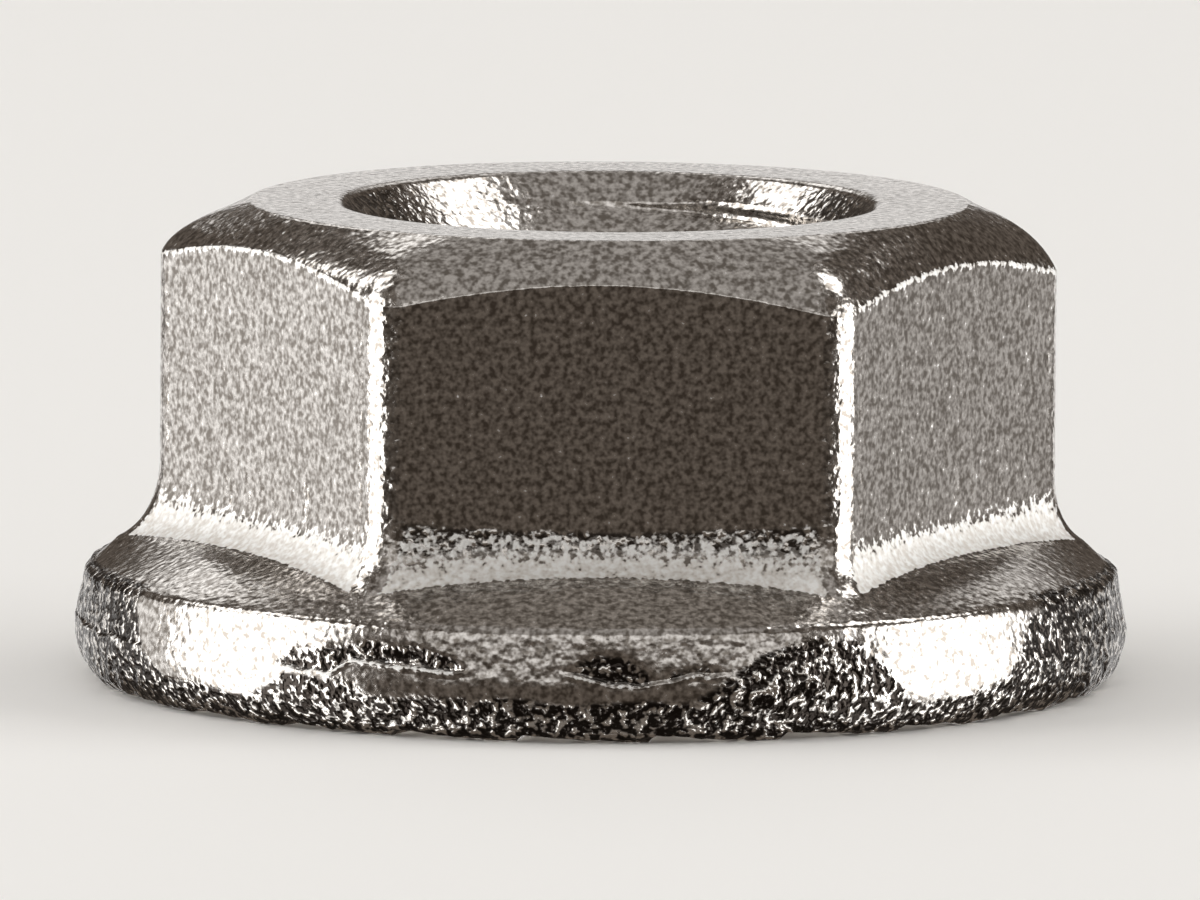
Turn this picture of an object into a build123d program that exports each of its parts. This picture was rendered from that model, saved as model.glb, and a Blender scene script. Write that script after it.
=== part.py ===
from build123d import *
import math
import os

# Serrated hexagon flange nut with a metric coarse thread, cold forged in one piece.
# Millimetres. The origin is the centre of the bearing plane, where the tips of the serrations
# stand, and +Z runs along the thread axis to the top face. Two flats are square to Y.

# Hexagon
across_flats = 13.0
corner_radius = 0.8
nut_height = 7.9
crown_width = 0.6  # from the flats in to the edge of the round top face
crown_cone_angle = 36.0  # the cone that rounds the top over the corners
crown_facet_angle = 45.0  # the slope over each flat, which cuts a little deeper than the cone
crown_facet_setback = 0.05  # from the top face's edge in to the upper ends of those slopes
crown_edge_radius = 0.3

# Flange: a cone on top, a drafted rim, and a foot that bulged freely between the dies
flange_overhang = 1.17  # from the sharp hexagon corners out to the widest part of the rim
foot_height = 0.95
foot_width = 0.575
rim_height = 0.9
rim_draft_angle = 11.0
rim_edge_radius = 0.25
flange_slope_angle = 22.0
junction_radius = 0.73

# Thread: the bore is left at the plain minor diameter of the tapped hole
thread_diameter = 8.0
thread_pitch = 1.25
top_countersink_width = 0.45  # from the thread's major radius out to the mouth
foot_countersink_width = 0.35
countersink_angle = 90.0

# Serrations: saw teeth that run from an inner recess out through the foot of the rim
tooth_count = 24
first_gap_angle = 11.5
tooth_depth_at_recess = 0.25
tooth_depth_at_rim = 0.12
tooth_land = 0.3
tooth_flank = 0.12
tooth_gap_overcut = 1.5  # the cutter's depth as a share of the gap's, so that it clears the land
recess_width = 1.15  # from the foot countersink's mouth out to the teeth
recess_depth = 0.3

# Worked out from the sizes above
top_face_radius = across_flats / 2 - crown_width
MINOR_PER_PITCH = 1.0825  # pitches of diameter that a 60 degree metric thread takes off
minor_radius = (thread_diameter - MINOR_PER_PITCH * thread_pitch) / 2
top_mouth_radius = thread_diameter / 2 + top_countersink_width
foot_mouth_radius = thread_diameter / 2 + foot_countersink_width
recess_radius = foot_mouth_radius + recess_width
corner_reach = across_flats / 2 / math.cos(math.pi / 6)
flange_radius = corner_reach + flange_overhang
bearing_radius = flange_radius - foot_width
rim_top = foot_height + rim_height


def slope(angle):
    """Rise over run of a line at an angle in degrees."""
    return math.tan(math.radians(angle))


rim_top_radius = flange_radius - rim_height * slope(rim_draft_angle)


def turned(*outline):
    """The solid that a closed outline of (radius, height) points sweeps about the thread axis."""
    return revolve(Plane.XZ * make_face(Polyline(*outline, close=True)), Axis.Z)


def flange():
    """The round flange, solid to the axis, with the top edge of its rim rounded."""
    foot = EllipticalCenterArc((bearing_radius, foot_height), foot_width, foot_height, 270)
    sides = Polyline(
        (flange_radius, foot_height),
        (rim_top_radius, rim_top),
        (0, rim_top + rim_top_radius * slope(flange_slope_angle)),
        (0, 0),
        (bearing_radius, 0),
    )
    section = make_face(foot + sides)
    rim_edge = section.vertices().sort_by_distance((rim_top_radius, rim_top))[0]
    return revolve(Plane.XZ * fillet(rim_edge, rim_edge_radius), Axis.Z)


def crown():
    """The room under the crown: a cone rounds it over the corners, a slope cuts it over each flat."""
    apothem = top_face_radius - crown_facet_setback
    top_outline = RegularPolygon(apothem, 6, major_radius=False)
    base_outline = RegularPolygon(apothem + nut_height / slope(crown_facet_angle), 6, major_radius=False)
    slopes = loft([base_outline, Plane.XY.offset(nut_height) * top_outline], ruled=True)
    cone = turned(
        (0, 0),
        (top_face_radius + nut_height / slope(crown_cone_angle), 0),
        (top_face_radius, nut_height),
        (0, nut_height),
    )
    return slopes & cone


def hexagon():
    """The six flats with rounded corners, cut back by the crown and eased along its edge."""
    sharp_prism = extrude(RegularPolygon(corner_reach, 6), nut_height)
    prism = fillet(sharp_prism.edges().filter_by(Axis.Z), corner_radius)
    room = crown()
    crowned = prism & room
    return fillet(new_edges(prism, room, combined=crowned), crown_edge_radius)


def bore():
    """The tapped hole at minor diameter, both countersinks, and the recess inside the teeth."""
    lead = slope(countersink_angle / 2)
    return turned(
        (0, 0),
        (recess_radius, 0),
        (recess_radius - recess_depth, recess_depth),
        (foot_mouth_radius, recess_depth),
        (minor_radius, recess_depth + (foot_mouth_radius - minor_radius) / lead),
        (minor_radius, nut_height - (top_mouth_radius - minor_radius) / lead),
        (top_mouth_radius, nut_height),
        (0, nut_height),
    )


def tooth_gap(radius, depth):
    """Section of one gap between teeth, square to its radius: a short flank, then a long ramp."""
    half_gap = radius * slope(180 / tooth_count) - tooth_land / 2
    root = Vector(tooth_flank - half_gap, depth)
    flank_foot = root + (Vector(-half_gap, 0) - root) * tooth_gap_overcut
    ramp_foot = root + (Vector(half_gap, 0) - root) * tooth_gap_overcut
    return Plane.YZ.offset(radius) * make_face(Polyline(flank_foot, root, ramp_foot, close=True))


def serrations():
    """The gaps between all teeth. Their short flanks bite when the nut turns loose."""
    inner = tooth_gap(recess_radius - recess_depth, tooth_depth_at_recess)
    outer = tooth_gap(flange_radius, tooth_depth_at_rim)
    gap = loft([inner, outer], ruled=True)
    return PolarLocations(0, tooth_count, first_gap_angle) * gap


head = hexagon()
washer = flange()
joined = head + washer
forging = fillet(new_edges(head, washer, combined=joined), junction_radius)
nut = forging - bore() - serrations()

os.makedirs("parts", exist_ok=True)
export_step(nut, "parts/nut.step")
print("nut volume", round(nut.volume, 2), "mm3")
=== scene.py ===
import math

import bpy
import numpy as np
from mathutils import Matrix, Vector, noise


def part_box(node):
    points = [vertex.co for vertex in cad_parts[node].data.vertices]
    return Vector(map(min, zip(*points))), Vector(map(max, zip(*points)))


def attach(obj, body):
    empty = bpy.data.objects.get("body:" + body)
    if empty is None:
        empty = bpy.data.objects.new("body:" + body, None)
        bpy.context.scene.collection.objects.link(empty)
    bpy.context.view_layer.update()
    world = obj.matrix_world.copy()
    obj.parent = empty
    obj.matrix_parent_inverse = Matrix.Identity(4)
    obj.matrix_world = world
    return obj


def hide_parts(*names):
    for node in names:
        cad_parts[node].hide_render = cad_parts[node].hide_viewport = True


# Cold-forged serrated flange nut in tumbled stainless steel, standing on its teeth.
# Lengths are millimetres until a mesh, light or camera is made; MM turns them to metres.
# Azimuths are degrees counter-clockwise from +X, seen from above. A turn from the front is degrees
# round from the middle of the flat that is square to -Y, positive towards +X. How roughly a place
# was forged and how matte it is both run from 0 to 1. A span is where a change starts, and how
# wide it is.

MM = 0.001
HALF_FLAT = math.pi / 6          # half the angle that one flat of a hexagon takes

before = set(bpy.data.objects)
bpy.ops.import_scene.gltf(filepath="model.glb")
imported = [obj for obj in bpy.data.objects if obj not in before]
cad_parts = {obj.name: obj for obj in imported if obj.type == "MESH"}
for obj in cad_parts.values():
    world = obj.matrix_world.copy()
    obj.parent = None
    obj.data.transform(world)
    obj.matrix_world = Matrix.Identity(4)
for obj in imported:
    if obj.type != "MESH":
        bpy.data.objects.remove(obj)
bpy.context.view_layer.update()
nut_low, nut_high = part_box("nut")

# Sizes that the frame gives
nut_height = (nut_high.z - nut_low.z) / MM
flange_radius = (nut_high.x - nut_low.x) / 2 / MM

# Hexagon
across_flats = 13.0
corner_radius = 0.8
corner_reach = (across_flats / 2 - corner_radius) / math.cos(HALF_FLAT) + corner_radius
top_face_radius = 5.9
top_edge_radius = 0.16
corner_span = (0.85, 0.1)        # of the way out from a flat to its corner, where the corner's skin starts
crown_drop = 0.55                # from the top face down to the crown's lower edge at a flat
crown_fall = 0.51                # how much lower that edge runs for each mm the wall stands further out
crown_slope_at_flat = 36.0       # where it leaves the top face
crown_slope_at_corner = 17.0
crown_steepness_at_flat = 57.0   # where it meets the wall
crown_steepness_at_corner = 67.0
crown_shift = 0.1                # how far its die stood off the axis, along Y
crown_tilt = 0.016               # how much lower its lower edge runs for each mm towards +X
shoulder_radius = 0.06           # edge between crown and wall

# Junction of hexagon and flange
junction_reach = 0.456           # how far the fillet runs out past the flats
junction_corner_radius = 0.4
junction_rise_at_flat = 0.62     # how far it climbs above where flat and flange would meet
junction_rise_at_corner = 1.02
junction_lobe = 0.2              # how far the flange swells up below the corners
junction_lobe_at_front = 0.35    # share of that swelling at the front and the back
junction_crease = 0.07           # how far above the flange its curve aims, so that they meet in a crease
junction_corner_span = (26.9, 1.6)   # degrees from the middle of a flat, where its frosting ends
torn_span = (0.3, 0.3)           # of the way down the front junction, where its torn skin ends
rubbed_span = (0.4, 0.3)         # of the way down the front junction, where it is rubbed matte

# Flange
flange_slope = math.tan(math.radians(22.0))
flange_crown = 0.05              # how far the cone bulges above a straight line
cone_inset = 0.13                # from the rim's top edge in to where the cone starts to round over
cone_lead = 0.2                  # from that edge in to the point that gives its rounding the cone's slope
cone_ends_span = (0.85, 0.1)     # of the way out over the cone, where the rough ends' skin starts
ends_turn = -3.0                 # turn from the front that the flange's two rough ends are centred on
ends_start_span = (57.0, 6.0)    # degrees from there
ends_finish_span = (100.0, 15.0)
rim_draft = math.tan(math.radians(11.0))
rim_edge_radius = 0.22
foot_height = 0.95
foot_width = 0.575
rim_height = 0.9
rim_top = foot_height + rim_height
rim_top_radius = flange_radius - rim_height * rim_draft
bearing_radius = flange_radius - foot_width
die_mismatch = -0.1              # how far the flange die stood off the hexagon's axis, along X

# Marks that the die left on the flats
groove_angle = 26.2              # degrees from the middle of a flat to the faint groove beside its corner
groove_half_width = 0.45
groove_depth = 0.01
drag_depth = 0.022               # upright scores just above the junction
drag_waves = 160                 # round the nut
drag_span = (0.82, 0.1)          # of the way down a flat, where the scores start

# Lap: the torn lip below the part of the rim that the die formed
lap_line = (                     # turn from the front, height
    (-180, 1.0), (-90, 1.05), (-60, 1.07), (-37, 1.08), (-31, 1.04), (-28, 1.28), (-22, 1.19), (-17, 1.13),
    (-13, 1.2), (-4, 1.17), (1, 0.98), (7, 1.07), (15, 1.12), (24, 1.0), (33, 0.92), (60, 1.0), (90, 1.07),
    (180, 1.0),
)
lap_wander = 0.03                # how far it strays up and down from that line
lap_wander_waves = 50            # round the nut
lap_raggedness = 0.045           # the same, but finer
lap_ragged_waves = 150
lap_depth = 0.08                 # of the hollows above it
bead_height = 0.45               # how far the lip stands out, as a share of that depth
bead_width = 0.03
bead_drop = 0.01                 # from the line down to the middle of the bead

# Where the metal did not fill the die above the lip
underfills = (                   # turn from the front, half width in degrees, height of the top
    (-76, 18, 1.2), (-31, 7, 1.5), (-23, 7.5, 1.6), (0.5, 5, 1.48), (10, 4, 1.3),
    (108, 12, 1.5), (141, 15, 1.55), (177, 11, 1.4), (-148, 16, 1.55), (-111, 11, 1.45),
)
underfill_wander = 0.09          # how far their tops stray up and down
underfill_waves = 90             # round the nut
underfill_span = (0.03, 0.2)     # height above the lip that a hollow's top needs to open it up
least_hollow = 0.05              # height that the slope of a hollow's floor is worked out over, at least

# How high the foot's rough skin climbs the rim
foot_skin = (                    # turn from the front, height
    (-180, 0.8), (-120, 0.7), (-103, 1.9), (-64, 1.9), (-57, 0.6), (-41, 0.6), (-37, 0.95), (-30, 0.95),
    (-27, 0.72), (9, 0.72), (13, 1.0), (17, 1.5), (24, 1.7), (30, 1.62), (33, 0.8),
    (36, 0.5), (48, 0.6), (55, 1.9), (98, 1.9), (120, 0.8), (180, 0.8),
)
foot_skin_stray = 1.5            # how far that line strays sideways, in degrees
foot_skin_stray_waves = 60       # round the nut
foot_skin_wander = 0.06          # how far it strays up and down
foot_skin_wander_waves = 50
foot_skin_blend = 0.12           # height over which the rough skin fades out

# Thread and countersinks
thread_radius = 4.0
thread_pitch = 1.25
DEPTH_PER_PITCH = 0.54127        # five eighths of the height of a sharp 60 degree thread
minor_radius = thread_radius - DEPTH_PER_PITCH * thread_pitch
root_flat = thread_pitch / 8
flank_slope = 1 / math.tan(math.radians(30.0))   # depth lost for each mm along the axis
top_mouth_radius = 4.45
foot_mouth_radius = 4.35
countersink_slope = 1.0          # radius lost for each mm of depth
countersink_span = (-1.2, 0.2)   # height from the top face, where the thread's skin gives way to its own
mouth_edge_radius = 0.25
foot_mouth_edge_radius = 0.12
groove_start = 200.0             # azimuth where a groove's middle leaves the foot's recess

# Serrations
tooth_count = 24
first_gap_azimuth = 11.5
tooth_depth_at_recess = 0.25
tooth_depth_at_rim = 0.12
tooth_land = 0.3
tooth_flank = 0.12
recess_width = 1.15
recess_depth = 0.3
recess_radius = foot_mouth_radius + recess_width
recess_edge_radius = 0.08

# How roughly each place was forged
crown_forging = 0.2              # at the crown's lower edge, and none at its top
shoulder_forging = 0.25
corner_forging = 0.25
front_corner_forging = 0.48      # the side towards the front of the front two corners
junction_forging = 0.2
torn_forging = 0.75              # the upper part of the junction below the front flat
cone_foot_forging = 0.4          # beside the junction
cone_forging = 0.05
rim_edge_forging = 0.15
rim_forging = 0.08
hollow_forging = 0.9             # above the lip
bead_smoothing = 0.7             # share of it that is gone from the lip
underside_forging = 0.3
foot_mouth_forging = 0.2
thread_forging = 0.1             # the thread was cut
countersink_forging = 0.15
countersink_side_forging = 0.7   # left and right in the top countersink
countersink_side_span = (0.72, 0.16)   # sideways share of the radius, where those sides start

# How matte each place is. Matte places get the frost, which is rougher and has a paler colour that is painted
# sheen
shoulder_matte_and_sheen = 0.5             # above every flat but the front one
torn_matte_and_sheen = 0.35                # the upper part of the junction below the front flat
rubbed_matte_and_sheen = 0.7               # the lower part
bead_matte_and_sheen = 0.5

# Turns from the front at which the hexagon's skin changes
front_corner_span = (27.3, 0.8)
front_corner_end = 30.2
side_shoulder_span = (31.0, 2.0)

# Mesh: columns round the nut, and rows at shares of the way along each stretch of its outline
columns = 600                    # round the outside, 25 for each tooth
bore_share = 3                   # outside columns to each column of the hole
bore_columns = columns // bore_share
corner_crowding = 0.6            # how much closer the columns stand at the hexagon's corners
tooth_edge_shares = (0.08, 0.24, 0.92)   # of a tooth's columns, where its land, flank and ramp end
mouth_edge_rows = 7
top_face_shares = np.linspace(0.25, 0.85, 3)
top_edge_rows = 5
crown_shares = np.linspace(0.22, 0.92, 9)
shoulder_rows = 4
wall_top = 0.12                  # from the crown's lower edge down to the flats' first row
wall_shares = (0, 0.06, 0.16, 0.28, 0.42, 0.56, 0.7, 0.8, 0.87, 0.91, 0.95, 0.98)
junction_shares = np.linspace(0, 1, 13)
cone_shares = np.linspace(0.05, 0.97, 10)
rim_edge_rows = 6
rim_margin = 0.2                 # from the rim's top edge, and from the lip, to the rows between them
rim_shares = np.linspace(0, 1, 9)
lip_offsets = (0.15, 0.1, 0.06, 0.03, 0.005, -0.02, -0.06, -0.12)   # heights of rows from the lip
foot_top = 0.5                   # height above which the foot's rows follow the lip
below_lip_shares = np.linspace(0.14, 0.9, 6)
foot_angles = np.linspace(62, 0, 14)     # degrees round the foot's bulge, 0 where it meets the bearing face
bearing_inset = 0.3              # from the bearing face's edge in to its first row
bearing_rows = 8
recess_shares = (0.5, 0.86)
recess_edge_rows = 3
foot_mouth_edge_rows = 4
rows_in_a_turn = np.array([0, 0.055, 0.075, 0.17, 0.27, 0.36, 0.39, 0.61, 0.64, 0.73, 0.83, 0.925, 0.945])
hole_gap = 0.03                  # height between the hole's end rows and the rings that they join

# Skin: heights and sizes of its lumps
coarse_lump = 0.03
coarse_lump_size = 0.4
fine_lump = 0.012
fine_lump_size = 0.2
lump_fade = 0.8                  # how quickly its finer octaves weaken
lump_lacunarity = 2.1            # how much finer each octave is
noise_gain = 1.6                 # brings noise of about 0.6 up to 1
dent_size = 0.17
dent_depth = 0.0145
pit_size = 0.11
peel_size = 0.13
peel_depth = 0.06
least_peel = 0.07                # share of the peel's depth on the smoothest faces

# Finish: how rough it is, and the range of a texture's or an attribute's value over which each one comes in
polished_roughness = 0.17
frosted_roughness = 0.72
matte_gain = 1.2                 # how much a matte place adds to its frost and its painted sheen
pit_gain = 1.8                   # how much the pits break the frost up
pit_roughness = 0.6              # of the pits' noise
# where the frost comes in: the metal turns rougher, and its paler colour there is painted sheen
frost_range = (1.26, 1.48)
pit_shade_range = (0.36, 0.64)         # from the painted shade on a pit's floor to the polished metal between pits
peel_range = (0.51, 0.61)        # from the scale in the peel's hollows to its bare peaks
scale_range = (0.3, 0.9)         # how rough a forging has to be to keep its scale

# Stage
floor_half = 3000.0
floor_roughness = 0.9
orbit_height = 4.0               # of the point that the lights and the camera stand round
light_distance = 500.0
soft_boxes = (                   # name, turn from the front, elevation, width, height, brightness
    ("left_box", -85, 6, 46, 74, 2.8),
    ("left_far_box", -123, -3, 22, 40, 0.76),
    ("left_high_box", -123, 46, 18, 22, 2.4),
    ("left_low_box", -72, -46, 44, 30, 1.2),
    ("left_back_box", -168, 32, 16, 17, 0.9),
    ("right_box", 83, 4, 43, 64, 2.9),
    ("right_far_box", 121, -3, 28, 40, 0.29),
    ("right_high_box", 115, 54, 20, 20, 2.6),
    ("right_low_box", 72, -46, 44, 30, 1.2),
    ("right_back_box", 168, 32, 16, 17, 0.5),
    ("front_box", 0, 27.5, 88, 26, 0.62),
    ("front_top_box", 0, 70, 56, 54, 0.23),
    ("front_low_card", 0, -58, 60, 46, 0.05),
    ("overhead_box", 180, 52, 34, 62, 0.22),
    ("back_card", 180, 7, 14, 14, 0.75),
    ("back_low_card", 180, -9, 74, 16, 0.75),
)
camera_sensor = 36.0
camera_lens = 727.7
camera_distance = 400.0
camera_azimuth = 0.5             # from the front, towards -X
camera_elevation = 6.95
camera_roll = 0.33
camera_aim = (-0.125, 0.0, 3.77)

tooth_pitch = 360.0 / tooth_count
even = first_gap_azimuth - tooth_pitch / 2 + np.arange(columns) * 360.0 / columns
crowded = even - corner_crowding * np.degrees(np.sin(np.radians(6 * even))) / 6


# --- Outline: a ring is one (azimuth, radius, height, forged, matte, slip) for each column --------

def ring(azimuth, radius, height, forged=0.0, matte=0.0, slip=0.0):
    """One ring of the skin: its places, its forging, its matteness (which also sets the frost's painted
    sheen), and its share of the die's mismatch.
    """
    return np.stack(np.broadcast_arrays(azimuth, radius, height, forged, matte, slip), axis=-1).astype(float)


def mix(first, last, share):
    """The value a share of the way from first to last."""
    return first + (last - first) * share


def smooth(share):
    """Eases from 0 to 1 as the share does, and is level beyond both."""
    share = np.clip(share, 0, 1)
    return share * share * (3 - 2 * share)


def rise(value, start, width):
    """0 up to the start, then eases up to 1 over the width."""
    return smooth((value - start) / width)


def points(radius, height):
    """(radius, height) pairs, one a column."""
    return np.stack(np.broadcast_arrays(radius, height, np.zeros(columns))[:2], axis=-1)


def eased(before, corner, after, radius, count):
    """(radius, height) pairs of a round edge at a corner, tangent to the lines from before and to after."""
    to_before = (before - corner) / np.linalg.norm(before - corner, axis=1, keepdims=True)
    to_after = (after - corner) / np.linalg.norm(after - corner, axis=1, keepdims=True)
    half = np.arccos(np.clip((to_before * to_after).sum(axis=1), -1, 1)) / 2
    bisector = (to_before + to_after) / np.linalg.norm(to_before + to_after, axis=1, keepdims=True)
    centre = corner + bisector * (radius / np.sin(half))[:, None]
    start = corner + to_before * (radius / np.tan(half))[:, None] - centre
    end = corner + to_after * (radius / np.tan(half))[:, None] - centre
    turn = math.pi - 2 * half
    arc = []
    for step in np.linspace(0, 1, count):
        from_start = (np.sin((1 - step) * turn) / np.sin(turn))[:, None] * start
        arc.append(centre + from_start + (np.sin(step * turn) / np.sin(turn))[:, None] * end)
    return arc


def off_flat(azimuth):
    """Degrees from the middle of the nearest flat, 0 to 30."""
    return np.abs(np.mod(azimuth, 60) - 30)


def off_front(azimuth):
    """The turn from the front, -180 to 180."""
    return np.mod(azimuth + 270, 360) - 180


def hexagon_radius(azimuth, apothem=across_flats / 2, rounding=corner_radius):
    """Distance from the axis to a hexagon with rounded corners."""
    angle = np.radians(off_flat(azimuth))
    flat = apothem / np.cos(angle)
    centre = (apothem - rounding) / math.cos(HALF_FLAT)
    from_corner = HALF_FLAT - angle
    reach = np.sqrt(np.maximum(rounding**2 - (centre * np.sin(from_corner)) ** 2, 0))
    corner = centre * np.cos(from_corner) + reach
    flat_ends = math.atan((apothem - rounding) * math.tan(HALF_FLAT) / apothem)
    return np.where(angle <= flat_ends, flat, corner)


def at_corner(azimuth):
    """How far the hexagon's wall stands out past its flats: 0 in their middle, 1 at the corners."""
    return (hexagon_radius(azimuth) - across_flats / 2) / (corner_reach - across_flats / 2)


def flange_height(radius):
    """Height of the flange's conical top, which is very slightly crowned."""
    share = np.clip((rim_top_radius - radius) / (rim_top_radius - across_flats / 2), 0, 1)
    return rim_top + (rim_top_radius - radius) * flange_slope + 4 * flange_crown * share * (1 - share)


def rim_radius(height):
    """Radius of the rim: drafted above the foot's height, and curving in to the bearing face below."""
    drafted = flange_radius - (height - foot_height) * rim_draft
    bulge = bearing_radius + foot_width * np.sqrt(np.clip(1 - (1 - height / foot_height) ** 2, 0, 1))
    return np.where(height > foot_height, drafted, bulge)


def tooth_column(azimuth, radius):
    """Moves evenly spaced columns onto the edges of the teeth at that radius."""
    share = np.mod(azimuth - first_gap_azimuth + tooth_pitch / 2, tooth_pitch) / tooth_pitch
    half_gap = radius * math.tan(math.radians(tooth_pitch / 2)) - tooth_land / 2
    across = np.array([-half_gap, tooth_flank - half_gap, half_gap])
    edges = np.degrees(np.arctan(across / radius))
    stops = np.concatenate(([-tooth_pitch / 2], edges, [tooth_pitch / 2]))
    middle = azimuth - share * tooth_pitch + tooth_pitch / 2
    return middle + np.interp(share, [0, *tooth_edge_shares, 1], stops)


def tooth_height(azimuth, radius):
    """Height of the underside in the gaps between the teeth, 0 on their tips."""
    off_gap = np.mod(azimuth - first_gap_azimuth + tooth_pitch / 2, tooth_pitch) - tooth_pitch / 2
    along = radius * np.cos(np.radians(off_gap))
    across = radius * np.sin(np.radians(off_gap))
    half_gap = along * math.tan(math.radians(tooth_pitch / 2)) - tooth_land / 2
    inner = recess_radius - recess_depth
    depth = mix(tooth_depth_at_recess, tooth_depth_at_rim, (along - inner) / (flange_radius - inner))
    flank = (across + half_gap) / tooth_flank
    ramp = (half_gap - across) / (2 * half_gap - tooth_flank)
    return depth * np.clip(np.minimum(flank, ramp), 0, 1)


def wander(azimuth, waves, seed):
    """Smooth noise round the axis, about -1 to 1, with that many waves in a turn."""
    angle = np.radians(azimuth)
    reach = waves / (2 * math.pi)
    circle = zip(reach * np.cos(angle), reach * np.sin(angle))
    return np.array([noise.noise((x, y, seed)) for x, y in circle]) * noise_gain


def bezier(first, control, last, share):
    """Points of a curve between two (radius, height) ends, drawn towards a control point."""
    return (1 - share) ** 2 * first + 2 * share * (1 - share) * control + share**2 * last


def crown():
    """The crown's upper end, control point and lower end, one each a column."""
    corner = at_corner(crowded)
    leaving = np.tan(np.radians(mix(crown_slope_at_flat, crown_slope_at_corner, corner)))
    meeting = np.tan(np.radians(mix(crown_steepness_at_flat, crown_steepness_at_corner, corner)))
    wall = hexagon_radius(crowded)
    shift = crown_shift * np.sin(np.radians(crowded))
    tilt = crown_tilt * wall * np.cos(np.radians(crowded))
    drop = crown_drop + crown_fall * (wall - across_flats / 2) - shift + tilt
    first = points(top_face_radius + shift, nut_height)
    last = points(wall, nut_height - drop)
    out = (meeting * (last - first)[:, 0] - drop) / (meeting - leaving)
    return first, first + points(out, -out * leaving), last


def top_rings():
    """The mouth's round edge, the top face and its round edge."""
    rings = []
    mouth = points(top_mouth_radius, nut_height)
    down_mouth = points(top_mouth_radius - countersink_slope, nut_height - 1)
    edge, control, _ = crown()
    for pair in eased(down_mouth, mouth, edge, mouth_edge_radius, mouth_edge_rows):
        rings.append(ring(even, pair[:, 0], pair[:, 1]))
    for share in top_face_shares:
        radius = mix(top_mouth_radius, top_face_radius, share)
        rings.append(ring(mix(even, crowded, share), radius, nut_height))
    for pair in eased(mouth, edge, control, top_edge_radius, top_edge_rows):
        rings.append(ring(crowded, pair[:, 0], pair[:, 1]))
    return rings


def crown_rings():
    """The crown between top face and flats, with the sharper edge where it meets them."""
    first, control, last = crown()
    rings = []
    for share in crown_shares:
        pair = bezier(first, control, last, share)
        rings.append(ring(crowded, pair[:, 0], pair[:, 1], forged=crown_forging * share**2))
    # The shoulders above the side flats are matte, and the frost's paler colour paints a highlight line along
    # each of them.
    dull_and_sheen = shoulder_matte_and_sheen * rise(np.abs(off_front(crowded)), *side_shoulder_span)
    for pair in eased(pair, last, points(last[:, 0], 0), shoulder_radius, shoulder_rows):
        rings.append(ring(crowded, pair[:, 0], pair[:, 1], forged=shoulder_forging, matte=dull_and_sheen))
    return rings


def at_ends(azimuth):
    """The rough ends of the flange, left and right of the front: 1 in them, 0 elsewhere."""
    turn = np.abs(off_front(azimuth) - ends_turn)
    return rise(turn, *ends_start_span) * (1 - rise(turn, *ends_finish_span))


def lobe(azimuth):
    """How far the flange swells up below the hexagon's corners, most at its rough ends."""
    return junction_lobe * at_corner(azimuth) * mix(junction_lobe_at_front, 1, at_ends(azimuth))


def junction_top():
    """Height at which the fillet leaves the flats."""
    climb = mix(junction_rise_at_flat, junction_rise_at_corner, at_corner(crowded))
    return flange_height(hexagon_radius(crowded)) + lobe(crowded) + climb


def corner_skin():
    """How rough the corners are: a little all round, and most on the front side of the front two."""
    turn = np.abs(off_front(crowded))
    towards_front = rise(turn, *front_corner_span) * (turn < front_corner_end)
    all_round = rise(at_corner(crowded), *corner_span)
    return np.maximum(corner_forging * all_round, front_corner_forging * towards_front)


def drag_marks():
    """Depth of the upright scores round the foot of the flats. The corners have none."""
    return drag_depth * wander(crowded, drag_waves, seed=5.0) * (1 - smooth(2 * at_corner(crowded)))


def flat_rings():
    """The six flats, ironed by the die, with a faint groove beside each corner."""
    top = crown()[2][:, 1] - wall_top
    groove = groove_depth * np.exp(-(((off_flat(crowded) - groove_angle) / groove_half_width) ** 2))
    rings = []
    for share in wall_shares:
        marks = groove * smooth(12 * share) + drag_marks() * rise(share, *drag_span)
        wall = hexagon_radius(crowded) - marks
        rings.append(ring(crowded, wall, mix(top, junction_top(), share), forged=corner_skin()))
    return rings


def junction_rings():
    """The fillet from the flats out to the flange. Below each flat it has a rough frost whose paler colour is
    painted sheen, and below the front one it is torn.
    """
    wall = hexagon_radius(crowded)
    reach = hexagon_radius(crowded, across_flats / 2 + junction_reach, junction_corner_radius)
    meeting = points(wall, flange_height(wall) + lobe(crowded) + junction_crease)
    above = points(wall, junction_top())
    beyond = points(reach, flange_height(reach) + lobe(crowded))
    between = 1 - rise(off_flat(crowded), *junction_corner_span)
    front = 1 - rise(np.abs(off_front(crowded)), *junction_corner_span)
    rings = []
    for share in junction_shares:
        pair = bezier(above, meeting, beyond, share)
        off_wall = smooth(4 * share)
        radius = pair[:, 0] - drag_marks() * (1 - off_wall)
        torn = smooth(12 * share) * (1 - rise(share, *torn_span)) * front
        rough = np.maximum(mix(corner_skin(), junction_forging, off_wall), torn_forging * torn)
        side_dull_and_sheen = smooth(1.3 * share)
        front_dull_and_sheen = mix(torn_matte_and_sheen * smooth(6 * share), rubbed_matte_and_sheen, rise(share, *rubbed_span))
        dull_and_sheen = mix(side_dull_and_sheen, front_dull_and_sheen, front) * between * (share < 1)
        rings.append(ring(crowded, radius, pair[:, 1], forged=rough, matte=dull_and_sheen, slip=share))
    return rings


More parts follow.
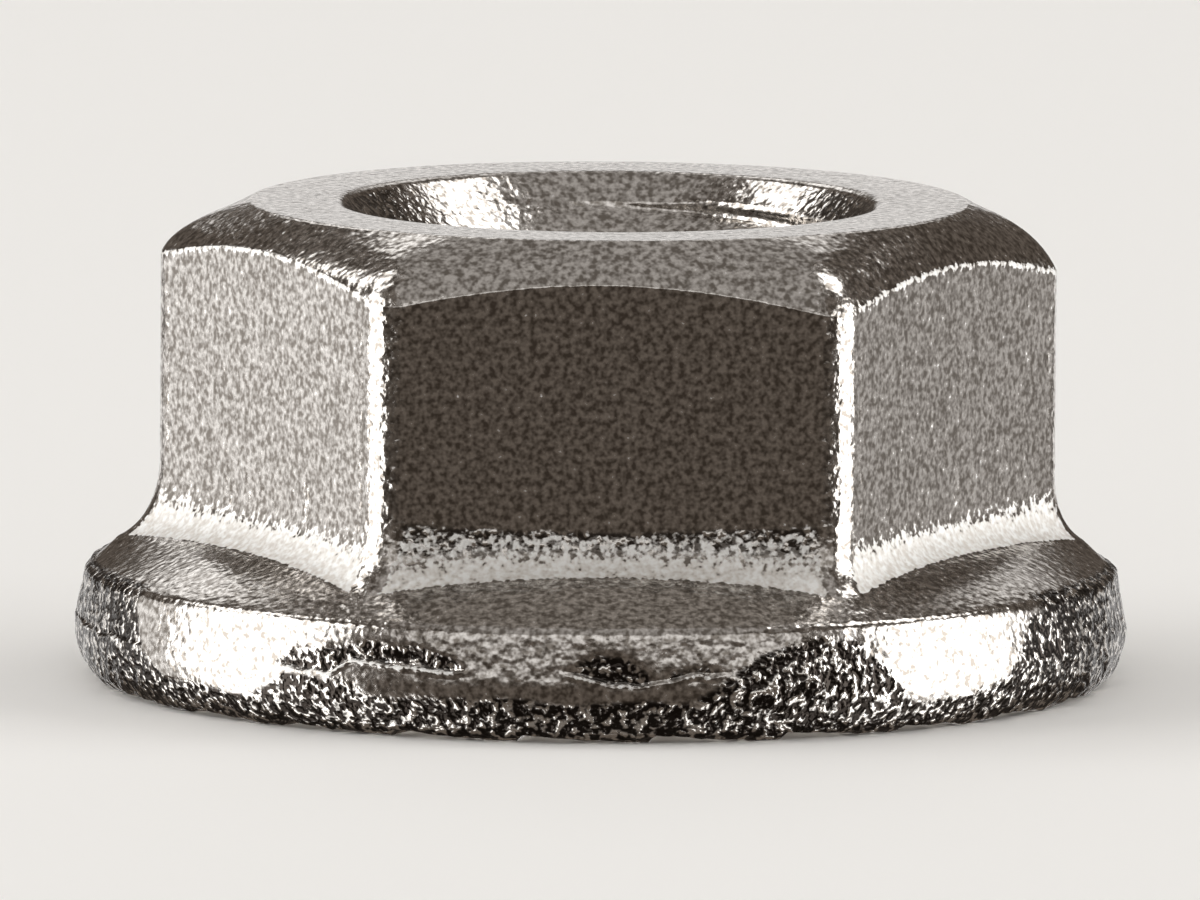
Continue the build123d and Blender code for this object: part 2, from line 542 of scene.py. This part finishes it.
def flange_rings():
    """The conical top of the flange and the round top edge of its rim."""
    rings = []
    for share in cone_shares:
        azimuth = mix(crowded, even, share)
        reach = hexagon_radius(azimuth, across_flats / 2 + junction_reach, junction_corner_radius)
        radius = mix(reach, rim_top_radius - cone_inset, share)
        height = flange_height(radius) + lobe(azimuth) * (1 - share)
        pressed = mix(cone_foot_forging, cone_forging, smooth(6 * share))
        rough = np.maximum(pressed, at_ends(azimuth) * rise(share, *cone_ends_span))
        rings.append(ring(azimuth, radius, height, forged=rough, slip=1))
    inside = points(rim_top_radius - cone_lead, flange_height(rim_top_radius - cone_lead))
    edge = points(rim_top_radius, rim_top)
    below = points(flange_radius, foot_height)
    rough = np.maximum(rim_edge_forging, at_ends(even))
    for pair in eased(inside, edge, below, rim_edge_radius, rim_edge_rows):
        rings.append(ring(even, pair[:, 0], pair[:, 1], forged=rough, slip=1))
    return rings


def lip_height():
    """Height of the torn lip round the rim."""
    line = np.interp(off_front(even), *np.transpose(lap_line))
    line += lap_wander * wander(even, lap_wander_waves, seed=71.0)
    return line + lap_raggedness * wander(even, lap_ragged_waves, seed=9.0)


def hollow_height(lip):
    """Height up to which the metal left the die above the lip: an arch over each place, else the lip."""
    turn = off_front(even)
    tops = [lip]
    for middle, half, top in underfills:
        arch = np.sqrt(np.clip(1 - ((turn - middle) / half) ** 2, 0, 1))
        tops.append(mix(lip, top, arch))
    return np.max(tops, axis=0) + underfill_wander * wander(even, underfill_waves, seed=33.0)


def foot_skin_height():
    """Height up to which the rim has the foot's rough skin."""
    turn = off_front(even) + foot_skin_stray * wander(even, foot_skin_stray_waves, seed=51.0)
    line = np.interp(turn, *np.transpose(foot_skin))
    return line + foot_skin_wander * wander(even, foot_skin_wander_waves, seed=40.0)


def rim_rings():
    """The drafted rim with its hollows, and the torn lip and the rough skin of the foot below them."""
    lip = lip_height()
    hollow_top = hollow_height(lip)
    skin_top = foot_skin_height()
    opened = rise(hollow_top - lip, *underfill_span)
    heights = [mix(rim_top - rim_margin, lip + rim_margin, share) for share in rim_shares]
    heights += [lip + offset for offset in lip_offsets]
    heights += [mix(lip + lip_offsets[-1], foot_top, share) for share in below_lip_shares]
    rings = []
    for height in heights:
        inward = np.clip((hollow_top - height) / np.maximum(hollow_top - lip, least_hollow), 0, 1)
        hollow = opened * inward * rise(height, lip, bead_width)
        bead = opened * np.exp(-(((height - lip + bead_drop) / bead_width) ** 2))
        in_hollow = hollow_forging * opened * smooth(5 * inward) * (height > lip)
        in_foot_skin = smooth((skin_top - height) / foot_skin_blend + 0.5)
        rough = np.maximum(np.maximum(in_hollow, in_foot_skin), rim_forging) * (1 - bead_smoothing * bead)
        radius = rim_radius(height) + lap_depth * (bead_height * bead - hollow)
        # The bead's matte value also gives it the frost's paler colour, which paints a highlight along the
        # lip.
        rings.append(ring(even, radius, height, forged=rough, matte=bead_matte_and_sheen * bead, slip=1))
    return rings


def foot_rings():
    """The foot, which bulged freely between the dies and curves in to the bearing face, cut by the teeth."""
    rings = []
    for angle in np.radians(foot_angles):
        height = foot_height * (1 - math.cos(angle))
        radius = bearing_radius + foot_width * math.sin(angle)
        azimuth = mix(even, tooth_column(even, radius), smooth(2 - 2 * angle))
        height = np.maximum(height, tooth_height(azimuth, radius))
        rings.append(ring(azimuth, radius, height, forged=1, slip=1))
    return rings


def underside_rings():
    """The serrated bearing face, the recess inside it and the edge of the foot's countersink."""
    rings = []
    for radius in np.linspace(bearing_radius - bearing_inset, recess_radius, bearing_rows):
        azimuth = tooth_column(even, radius)
        slip = (radius - recess_radius) / (bearing_radius - recess_radius)
        height = tooth_height(azimuth, radius)
        rings.append(ring(azimuth, radius, height, forged=underside_forging, slip=slip))
    for share in recess_shares:
        radius = recess_radius - share * recess_depth
        azimuth = tooth_column(even, radius)
        height = np.maximum(share * recess_depth, tooth_height(azimuth, radius))
        rings.append(ring(azimuth, radius, height, forged=underside_forging))
    wall = points(recess_radius, 0)
    inner = points(recess_radius - recess_depth, recess_depth)
    mouth = points(foot_mouth_radius, recess_depth)
    up_mouth = points(foot_mouth_radius - countersink_slope, recess_depth + 1)
    for pair in eased(wall, inner, mouth, recess_edge_radius, recess_edge_rows):
        rings.append(ring(even, pair[:, 0], pair[:, 1], forged=underside_forging))
    halfway = mix(recess_radius - recess_depth, foot_mouth_radius, 0.5)
    rings.append(ring(even, halfway, recess_depth, forged=underside_forging))
    for pair in eased(inner, mouth, up_mouth, foot_mouth_edge_radius, foot_mouth_edge_rows):
        rings.append(ring(even, pair[:, 0], pair[:, 1], forged=foot_mouth_forging))
    return rings


# --- Skin: rings become points, and the forged skin gets its lumps --------------------------------

def around(rings):
    """Positions in millimetres of an array of rings: rows by columns by 3."""
    azimuth, radius, height, _, _, slip = np.moveaxis(rings, -1, 0)
    angle = np.radians(azimuth)
    x = radius * np.cos(angle) + slip * die_mismatch
    return np.stack([x, radius * np.sin(angle), height], axis=-1)


def normals(places):
    """Outward directions of a grid of rings that closes on itself across its columns."""
    down = np.gradient(places, axis=0)
    across = np.roll(places, -1, axis=1) - np.roll(places, 1, axis=1)
    out = np.cross(down, across)
    return out / np.maximum(np.linalg.norm(out, axis=2, keepdims=True), 1e-12)


def grain(places, size, octaves):
    """Fractal noise over the points, about -1 to 1, with lumps of that size."""
    flat = places.reshape(-1, 3) / size
    values = [noise.fractal(Vector(point), lump_fade, lump_lacunarity, octaves) for point in flat]
    return np.array(values).reshape(places.shape[:2])


def thread_radius_at(azimuth, height):
    """Radius of the threaded hole: a right-hand groove with 60 degree flanks, or its countersinks."""
    turns = (height - recess_depth) / thread_pitch - (azimuth - groove_start) / 360
    from_middle = np.abs(np.mod(turns + 0.5, 1) - 0.5) * thread_pitch
    groove = thread_radius - np.maximum(from_middle - root_flat / 2, 0) * flank_slope
    top = top_mouth_radius - (nut_height - height) * countersink_slope
    foot = foot_mouth_radius - (height - recess_depth) * countersink_slope
    return np.maximum.reduce([np.maximum(groove, minor_radius), top, foot])


def bore(low, high):
    """Rows of the threaded hole from low to high. They climb with the thread and end level."""
    azimuth = even[::bore_share]
    lowest_turn = math.floor((low - recess_depth) / thread_pitch - (azimuth[-1] - groove_start) / 360)
    highest_turn = math.ceil((high - recess_depth) / thread_pitch - (azimuth[0] - groove_start) / 360)
    turns = np.concatenate([turn + rows_in_a_turn for turn in range(lowest_turn, highest_turn)])
    climbing = turns[:, None] + (azimuth - groove_start) / 360
    height = np.clip(recess_depth + climbing * thread_pitch, low, high)
    radius = thread_radius_at(azimuth, height)
    angle = np.radians(azimuth)
    return np.stack([radius * np.cos(angle), radius * np.sin(angle), height], axis=-1)


def strips(grid):
    """Faces of a grid of vertex numbers that closes on itself, with the first column repeated last."""
    quads = (grid[:-1, :-1], grid[1:, :-1], grid[1:, 1:], grid[:-1, 1:])
    return np.stack(quads, axis=-1).reshape(-1, 4)


def hole_numbering(hole, first):
    """Vertex numbers of the hole's rows. Where a row ends level with the one before, they share vertices."""
    numbers = first + np.arange(hole[..., 0].size).reshape(hole.shape[:2])
    for row in range(1, len(hole)):
        same = hole[row, :, 2] == hole[row - 1, :, 2]
        numbers[row, same] = numbers[row - 1, same]
    return numbers


def hole_faces(numbers):
    """Faces of the hole. Its last column meets the first one a turn of the thread further up."""
    turn = len(rows_in_a_turn)
    seam = np.stack([numbers[:-turn, -1], numbers[turn:, 0]], axis=-1)
    return [*strips(numbers), *strips(seam)]


def mouth_faces(near, far):
    """Faces between an end row of the hole and the ring round it, which has three columns to its one."""
    faces = []
    for column in range(bore_columns):
        here, there = near[column], near[(column + 1) % bore_columns]
        rim = [far[(bore_share * column + step) % columns] for step in range(4)]
        faces += [(rim[0], here, rim[1]), (rim[1], here, there, rim[2]), (rim[2], there, rim[3])]
    return faces


def hole_forging(hole):
    """How roughly the hole was forged: least in its thread, and most at the sides of its countersink."""
    sideways = np.abs(hole[..., 0].ravel()) / np.linalg.norm(hole[..., :2], axis=2).ravel()
    countersink = mix(countersink_forging, countersink_side_forging, rise(sideways, *countersink_side_span))
    return mix(thread_forging, countersink, rise(hole[..., 2].ravel() - nut_height, *countersink_span))


def closed_mesh(name, places, faces, skin):
    """A smooth mesh of the faces, without unused places and doubled corners, and with the skin's values."""
    faces = [list(dict.fromkeys(int(number) for number in face)) for face in faces]
    faces = [face for face in faces if len(face) > 2]
    used = np.zeros(len(places), bool)
    used[[number for face in faces for number in face]] = True
    renumbered = np.cumsum(used) - 1
    faces = [[int(renumbered[number]) for number in face] for face in faces]
    mesh = bpy.data.meshes.new(name)
    mesh.from_pydata(places[used].tolist(), [], faces)
    for attribute, values in skin.items():
        mesh.attributes.new(attribute, "FLOAT", "POINT").data.foreach_set("value", values[used])
    mesh.polygons.foreach_set("use_smooth", [True] * len(mesh.polygons))
    mesh.update()
    return mesh


def nut_mesh():
    """The whole skin as one closed mesh: out from the top face, down, in below, and up the threaded hole."""
    rows = top_rings() + crown_rings() + flat_rings() + junction_rings() + flange_rings()
    rings = np.array(rows + rim_rings() + foot_rings() + underside_rings())
    forged, matte = rings[..., 3], rings[..., 4]
    outside = around(rings)
    lumps = coarse_lump * grain(outside, coarse_lump_size, 1) + fine_lump * grain(outside, fine_lump_size, 2)
    outside += normals(outside) * (forged * lumps)[..., None]
    outside[..., 2] = np.maximum(outside[..., 2], 0)
    hole = bore(outside[-1, 0, 2] + hole_gap, outside[0, 0, 2] - hole_gap)

    numbers = np.arange(outside[..., 0].size).reshape(outside.shape[:2])
    hole_numbers = hole_numbering(hole, numbers.size)
    faces = [*strips(np.hstack([numbers, numbers[:, :1]])), *hole_faces(hole_numbers)]
    faces += mouth_faces(hole_numbers[0], numbers[-1])
    faces += [face[::-1] for face in mouth_faces(hole_numbers[-1], numbers[0])]

    places = np.concatenate([outside.reshape(-1, 3), hole.reshape(-1, 3)]) * MM
    return closed_mesh("nut_skin", places, faces, {
        "forged": np.concatenate([forged.ravel(), hole_forging(hole)]),
        "matte": np.concatenate([matte.ravel(), np.zeros(hole[..., 0].size)]),
    })


# --- Material -------------------------------------------------------------------------------------

def linear(colour):
    """An sRGB hex colour as linear RGBA."""
    parts = [int(colour[i:i + 2], 16) / 255 for i in (1, 3, 5)]
    return [part / 12.92 if part <= 0.04045 else ((part + 0.055) / 1.055) ** 2.4 for part in parts] + [1.0]


def add(tree, kind, inputs, **settings):
    """Adds a node to a tree, with its settings, and with each input linked or given a value."""
    made = tree.nodes.new("ShaderNode" + kind)
    for name, value in settings.items():
        setattr(made, name, value)
    for socket, value in inputs.items():
        if isinstance(value, bpy.types.NodeSocket):
            tree.links.new(value, made.inputs[socket])
        else:
            made.inputs[socket].default_value = value
    return made


def per_mm(size):
    """Scale of a noise texture, in object coordinates, that gives lumps of that many millimetres."""
    return 1 / (size * MM)


def tumbled_stainless():
    """A2 stainless steel, cold forged and then tumbled.

    Its metal is a neutral grey with a little warmth. Tumbling left a fine dented and pitted grain on the
    faces that the die had ironed smooth.
    The pits are rough spots with no dents of their own, and their dark colour is painted shade. The fillets
    and edges that it rubbed have a rough frost, whose pale colour is painted sheen. The freely formed foot
    keeps a coarser, orange-peel skin with dark scale in its hollows.
    """
    material = bpy.data.materials.new("tumbled_stainless_steel")
    material.use_nodes = True
    tree = material.node_tree
    tree.nodes.clear()
    place = add(tree, "TexCoord", {}).outputs["Object"]
    forged = add(tree, "Attribute", {}, attribute_name="forged").outputs["Fac"]
    # Matte places get rougher and paler. The paler colour is painted sheen.
    matte = add(tree, "Attribute", {}, attribute_name="matte").outputs["Fac"]

    dents = add(tree, "TexNoise", {
        "Vector": place, "Scale": per_mm(dent_size), "Detail": 1.0}).outputs["Fac"]
    # Pits: rough spots with no dents of their own. The colour below darkens them with painted shade.
    pits_and_pit_shade = add(tree, "TexNoise", {
        "Vector": place, "Scale": per_mm(pit_size), "Detail": 1.5, "Roughness": pit_roughness}).outputs["Fac"]
    peel = add(tree, "TexNoise", {
        "Vector": place, "Scale": per_mm(peel_size), "Detail": 1.5}).outputs["Fac"]

    dented = add(tree, "Bump", {"Height": dents, "Distance": dent_depth * MM})
    peel_strength = add(tree, "Math", {0: forged, 1: least_peel}, operation="MAXIMUM")
    peeled = add(tree, "Bump", {
        "Height": peel, "Distance": peel_depth * MM,
        "Strength": peel_strength.outputs["Value"], "Normal": dented.outputs["Normal"]})

    blot = add(tree, "Math", {0: pits_and_pit_shade, 1: pit_gain}, operation="MULTIPLY")
    frost = add(tree, "Math", {0: matte, 1: matte_gain, 2: blot.outputs["Value"]}, operation="MULTIPLY_ADD")
    frost_and_sheen = add(tree, "MapRange", {
        "Value": frost.outputs["Value"],
        "From Min": frost_range[0], "From Max": frost_range[1]}).outputs["Result"]
    rough = add(tree, "MapRange", {
        "Value": frost_and_sheen, "To Min": polished_roughness, "To Max": frosted_roughness})
    # 0 on a pit's floor, where the painted shade is darkest, and 1 on the pale metal between pits.
    pit_shading = add(tree, "MapRange", {
        "Value": pits_and_pit_shade, "From Min": pit_shade_range[0], "From Max": pit_shade_range[1]}).outputs["Result"]
    peaks = add(tree, "MapRange", {
        "Value": peel, "From Min": peel_range[0], "From Max": peel_range[1]}).outputs["Result"]
    scaled = add(tree, "MapRange", {
        "Value": forged, "From Min": scale_range[0], "From Max": scale_range[1]}).outputs["Result"]

    metal = add(tree, "MixRGB", {"Fac": pit_shading, "Color1": linear("#938C84"), "Color2": linear("#F7F3EE")})
    scaly = add(tree, "MixRGB", {"Fac": peaks, "Color1": linear("#3A3531"), "Color2": linear("#FBF7F1")})
    # The frost's near-white colour is painted sheen. It brightens the fillets, the shoulders and the lip
    # beyond the bare metal.
    frost_sheen = add(tree, "MixRGB", {"Fac": pit_shading, "Color1": linear("#E8E4DE"), "Color2": linear("#FFFFFD")})
    bare = add(tree, "MixRGB", {
        "Fac": scaled, "Color1": metal.outputs["Color"], "Color2": scaly.outputs["Color"]})
    skin = add(tree, "MixRGB", {
        "Fac": frost_and_sheen, "Color1": bare.outputs["Color"], "Color2": frost_sheen.outputs["Color"]})
    shader = add(tree, "BsdfPrincipled", {
        "Base Color": skin.outputs["Color"], "Metallic": 1.0,
        "Roughness": rough.outputs["Result"], "Normal": peeled.outputs["Normal"]})
    add(tree, "OutputMaterial", {"Surface": shader.outputs["BSDF"]})
    return material


# --- Stage ----------------------------------------------------------------------------------------

def put(name, data):
    """A new object in the scene."""
    made = bpy.data.objects.new(name, data)
    bpy.context.scene.collection.objects.link(made)
    return made


def pale_floor():
    """A wide matte card that the nut's faces do not mirror, and that lets the low lights through."""
    mesh = bpy.data.meshes.new("floor")
    half = floor_half * MM
    outline = [(-half, -half, 0), (half, -half, 0), (half, half, 0), (-half, half, 0)]
    mesh.from_pydata(outline, [], [(0, 1, 2, 3)])
    floor = put("floor", mesh)
    material = bpy.data.materials.new("pale_card")
    material.use_nodes = True
    paint = material.node_tree.nodes["Principled BSDF"]
    paint.inputs["Base Color"].default_value = linear("#F2F0ED")
    paint.inputs["Roughness"].default_value = floor_roughness
    mesh.materials.append(material)
    floor.visible_glossy = False
    floor.visible_shadow = False


def direction(turn, elevation):
    """Unit vector towards a place round the nut, from its turn from the front and its elevation."""
    swing, lift = math.radians(turn), math.radians(elevation)
    return Vector((math.sin(swing) * math.cos(lift), -math.cos(swing) * math.cos(lift), math.sin(lift)))


def softbox(name, turn, elevation, width, height, brightness):
    """A rectangular light on a sphere round the nut. Width and height are the degrees that it spans."""
    light = bpy.data.lights.new(name, "AREA")
    light.shape = "RECTANGLE"
    light.size = 2 * light_distance * MM * math.tan(math.radians(width / 2))
    light.size_y = 2 * light_distance * MM * math.tan(math.radians(height / 2))
    light.energy = brightness * math.pi * light.size * light.size_y
    box = put(name, light)
    box.location = Vector((0, 0, orbit_height * MM)) + direction(turn, elevation) * light_distance * MM
    box.rotation_euler = direction(turn, elevation).to_track_quat("Z", "Y").to_euler()
    box.visible_camera = False


def studio():
    """The soft boxes, and a world that is dark in the nut's faces but pale behind it and on the floor."""
    for box in soft_boxes:
        softbox(*box)
    world = bpy.data.worlds.new("studio")
    bpy.context.scene.world = world
    world.use_nodes = True
    tree = world.node_tree
    tree.nodes.clear()
    path = add(tree, "LightPath", {}).outputs
    around_nut = add(tree, "MixRGB", {
        "Fac": path["Is Diffuse Ray"], "Color1": linear("#5A524B"), "Color2": linear("#A3A19E")})
    backdrop = add(tree, "MixRGB", {
        "Fac": path["Is Camera Ray"], "Color1": around_nut.outputs["Color"], "Color2": linear("#E4E2DF")})
    sky = add(tree, "Background", {"Color": backdrop.outputs["Color"], "Strength": 1.0})
    add(tree, "OutputWorld", {"Surface": sky.outputs["Background"]})


def camera():
    """A long lens a little above the nut's top face, rolled by a third of a degree."""
    lens = bpy.data.cameras.new("camera")
    lens.sensor_width = camera_sensor
    lens.lens = camera_lens
    toward = direction(-camera_azimuth, camera_elevation)
    eye = put("camera", lens)
    eye.location = (Vector((0, 0, orbit_height)) + toward * camera_distance) * MM
    aim = Vector(camera_aim) * MM
    look = (aim - eye.location).to_track_quat("-Z", "Y").to_matrix().to_4x4()
    roll = Matrix.Rotation(math.radians(camera_roll), 4, "Z")
    eye.rotation_euler = (look @ roll).to_euler()
    bpy.context.scene.camera = eye


nut = put("nut_body", nut_mesh())
nut.data.materials.append(tumbled_stainless())
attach(nut, "root")
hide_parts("nut")

pale_floor()
studio()
camera()
bpy.context.scene.view_settings.view_transform = "Standard"
